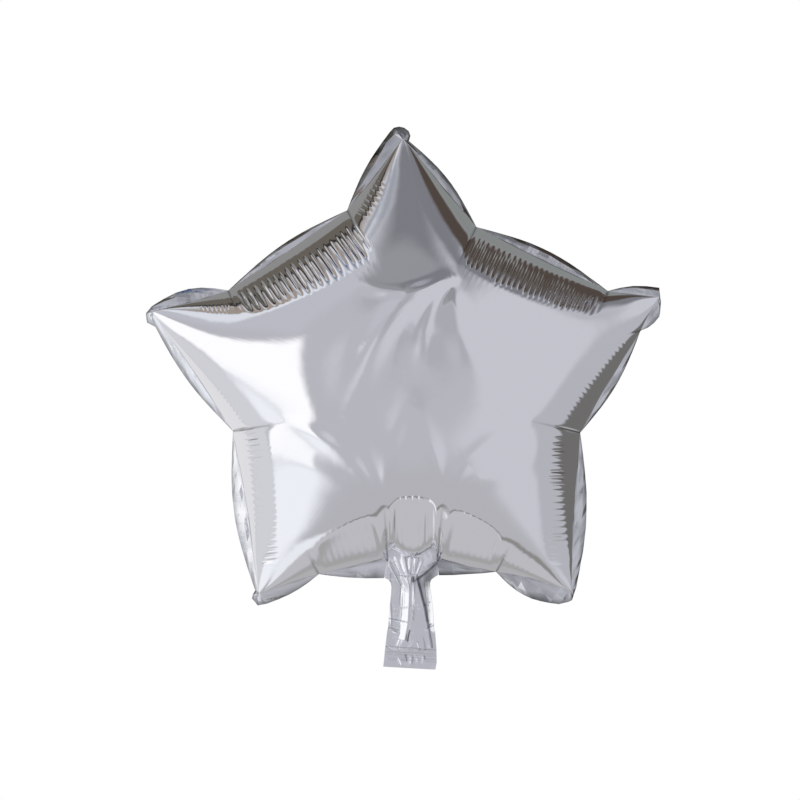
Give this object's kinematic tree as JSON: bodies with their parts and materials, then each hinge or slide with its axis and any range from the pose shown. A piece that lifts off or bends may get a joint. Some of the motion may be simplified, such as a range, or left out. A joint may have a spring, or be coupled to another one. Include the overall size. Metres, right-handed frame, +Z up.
{
  "type": "star foil balloon",
  "caption": "Inflated star-shaped balloon of silver metallised film with a wrinkled sealed rim and a filling tail that hangs below.",
  "frame": {"origin": "the star's centre, in the plane of its sealed seam, half way through its depth", "axes": "+Z up towards the top point, -Y out of the front face, +X to the right seen from the front"},
  "size_m": [0.4475, 0.144, 0.471],
  "materials": {
    "front_foil": "bright metallised film, softly puckered",
    "back_foil": "bright metallised film, softly puckered",
    "rim_seal": "two films welded flat, crinkled",
    "neck_foil": "bright metallised film, gathered",
    "tail_foil": "bright metallised film, creased",
    "tail_seal": "two films welded flat",
    "valve_film": "thin clear valve film"
  },
  "bodies": {
    "envelope": {"front_film": "front_foil", "back_film": "back_foil", "rim_point_top": "rim_seal", "rim_point_left": "rim_seal", "rim_point_lower_left": "rim_seal", "rim_point_lower_right": "rim_seal", "rim_point_right": "rim_seal", "rim_bay_upper_left": "rim_seal", "rim_bay_upper_right": "rim_seal", "rim_bay_bottom_left": "rim_seal", "rim_bay_bottom_right": "rim_seal", "neck_throat": "neck_foil"},
    "tail": {"tail_front_film": "tail_foil", "tail_back_film": "tail_foil", "tail_side_seal_left": "tail_seal", "tail_side_seal_right": "tail_seal", "valve_sleeve": "valve_film"}
  },
  "joints": [
    {"name": "tail_fold", "type": "hinge", "parent": "envelope", "child": "tail", "pos_m": [0, 0, -0.174], "axis": [1, 0, 0], "range_deg": [-125, 125]}
  ]
}
